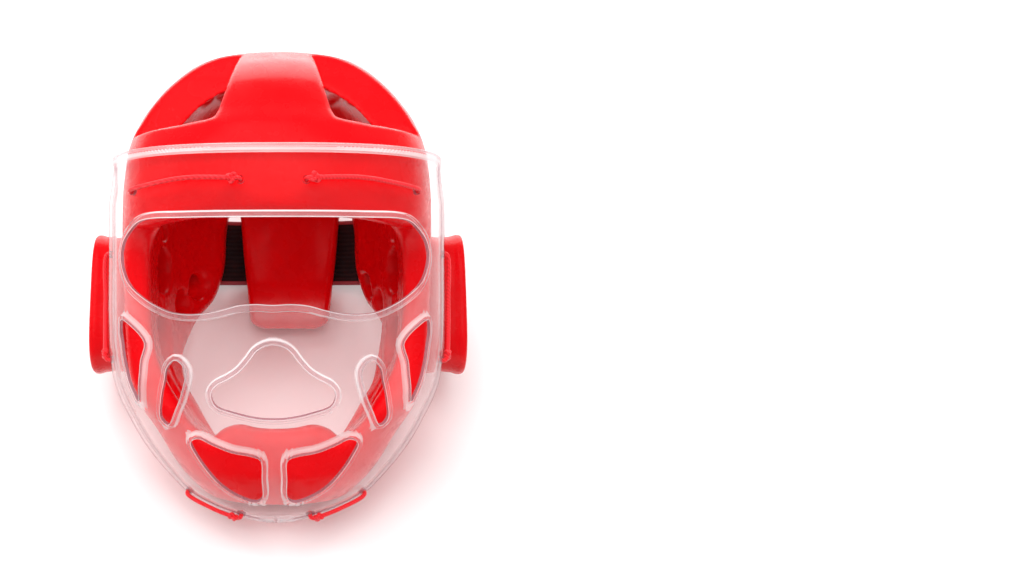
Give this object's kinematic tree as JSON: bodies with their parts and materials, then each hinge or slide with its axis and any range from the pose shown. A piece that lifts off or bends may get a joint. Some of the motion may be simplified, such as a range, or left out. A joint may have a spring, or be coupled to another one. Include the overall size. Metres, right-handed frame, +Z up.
{
  "type": "sparring headgear with face shield",
  "caption": "Padded sparring headgear of glossy dipped foam with raised ear pods, rear elastic strap and a clear vented face shield laced on.",
  "frame": {"origin": "middle of the underside of the bounding box, as the headgear lies on a table leant back on its chin guard and its rear strap", "axes": "+X to the wearer's left, +Y to the back, +Z up from the table; the face opening looks along -Y and upwards"},
  "size_m": [0.246, 0.32, 0.2253],
  "materials": {
    "dipped_foam": "foam with a glossy dipped vinyl skin",
    "ear_pad_foam": "foam with a glossy dipped vinyl skin",
    "clear_shield": "clear, formed from sheet",
    "elastic_webbing": "matt woven elastic",
    "lace_cord": "matt braided cord"
  },
  "bodies": {
    "root": {"brow_band": "dipped_foam", "crown": "dipped_foam", "ear_panel_left": "dipped_foam", "ear_panel_right": "dipped_foam", "rear_wing_left": "dipped_foam", "rear_wing_right": "dipped_foam", "nape_band": "dipped_foam", "nape_pad": "dipped_foam", "chin_guard": "dipped_foam", "ear_pod_left": "ear_pad_foam", "ear_pod_right": "ear_pad_foam", "face_shield": "clear_shield", "rear_strap": "elastic_webbing", "brow_lace_left": "lace_cord", "brow_lace_right": "lace_cord", "chin_lace_left": "lace_cord", "chin_lace_right": "lace_cord", "cheek_lace_left": "lace_cord", "cheek_lace_right": "lace_cord"}
  },
  "joints": []
}
